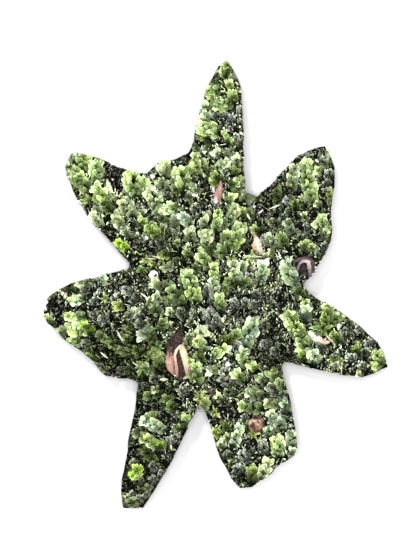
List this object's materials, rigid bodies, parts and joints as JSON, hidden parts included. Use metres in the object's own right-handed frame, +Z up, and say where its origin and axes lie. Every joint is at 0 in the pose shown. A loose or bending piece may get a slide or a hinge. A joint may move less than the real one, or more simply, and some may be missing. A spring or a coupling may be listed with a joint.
{
  "type": "moss clump",
  "caption": "Star-shaped patch of mossy ground: a soil layer under a low moss carpet with leafy shoots and plant litter, cut flat underneath.",
  "frame": {"origin": "middle of the patch's outline box, on the cut underside", "axes": "+Z up out of the moss, +Y towards the tip of the top arm, along the patch's longest extent, +X to the right seen from above"},
  "size_m": [0.0861, 0.1118, 0.0133],
  "materials": {
    "wet_soil": "wet dark humus with grey crumbs",
    "moss_carpet": "felted olive and grey-green moss",
    "leaf_fresh": "fresh yellow-green moss leaves, slightly glossy",
    "leaf_pale": "pale green moss leaves, slightly glossy",
    "leaf_vivid": "vivid green moss leaves",
    "leaf_bluish": "blue-green moss leaves, dewy sheen",
    "leaf_olive": "dull olive moss leaves",
    "bud_scale": "pink and brown dry bud scale, fibrous",
    "dry_straw": "dry cream plant litter",
    "white_lime": "white chalky shell",
    "seed_brown": "glossy brown seed",
    "dead_leaf": "purple-brown curled dead leaf",
    "dead_wood": "dull brown wood flake"
  },
  "bodies": {
    "root": {"brown_seed": "seed_brown", "curled_leaf": "dead_leaf", "large_bud_scale": "bud_scale", "loose_leaf": "dry_straw", "moss_mat": "moss_carpet", "pale_seed": "dry_straw", "shoot_east_arm_1": "leaf_fresh", "shoot_east_arm_2": "leaf_olive", "shoot_east_arm_3": "leaf_fresh", "shoot_east_arm_4": "leaf_bluish", "shoot_middle_1": "leaf_fresh", "shoot_middle_2": "leaf_fresh", "shoot_middle_3": "leaf_pale", "shoot_middle_4": "leaf_bluish", "shoot_middle_5": "leaf_bluish", "shoot_middle_6": "leaf_fresh", "shoot_ne_arm_1": "leaf_pale", "shoot_ne_arm_2": "leaf_fresh", "shoot_ne_arm_3": "leaf_fresh", "shoot_nw_arm_1": "leaf_fresh", "shoot_nw_arm_2": "leaf_fresh", "shoot_nw_arm_3": "leaf_fresh", "shoot_nw_arm_4": "leaf_fresh", "shoot_nw_arm_5": "leaf_fresh", "shoot_nw_arm_6": "leaf_pale", "shoot_nw_arm_7": "leaf_pale", "shoot_nw_arm_8": "leaf_pale", "shoot_nw_arm_9": "leaf_vivid", "shoot_se_arm_1": "leaf_pale", "shoot_se_arm_2": "leaf_bluish", "shoot_se_arm_3": "leaf_fresh", "shoot_se_arm_4": "leaf_pale", "shoot_se_arm_5": "leaf_bluish", "shoot_shoulder_1": "leaf_pale", "shoot_shoulder_10": "leaf_pale", "shoot_shoulder_11": "leaf_olive", "shoot_shoulder_2": "leaf_fresh", "shoot_shoulder_3": "leaf_fresh", "shoot_shoulder_4": "leaf_bluish", "shoot_shoulder_5": "leaf_fresh", "shoot_shoulder_6": "leaf_bluish", "shoot_shoulder_7": "leaf_pale", "shoot_shoulder_8": "leaf_fresh", "shoot_shoulder_9": "leaf_fresh", "shoot_sw_arm_1": "leaf_bluish", "shoot_sw_arm_2": "leaf_fresh", "shoot_sw_arm_3": "leaf_vivid", "shoot_top_arm_1": "leaf_olive", "shoot_top_arm_2": "leaf_fresh", "shoot_top_arm_3": "leaf_fresh", "shoot_top_arm_4": "leaf_fresh", "shoot_west_arm_1": "leaf_fresh", "shoot_west_arm_2": "leaf_fresh", "shoot_west_arm_3": "leaf_bluish", "small_bud_scale": "bud_scale", "soil_mat": "wet_soil", "straw": "dry_straw", "tan_splinter": "dry_straw", "white_shell": "white_lime", "wood_flake": "dead_wood"}
  },
  "joints": []
}
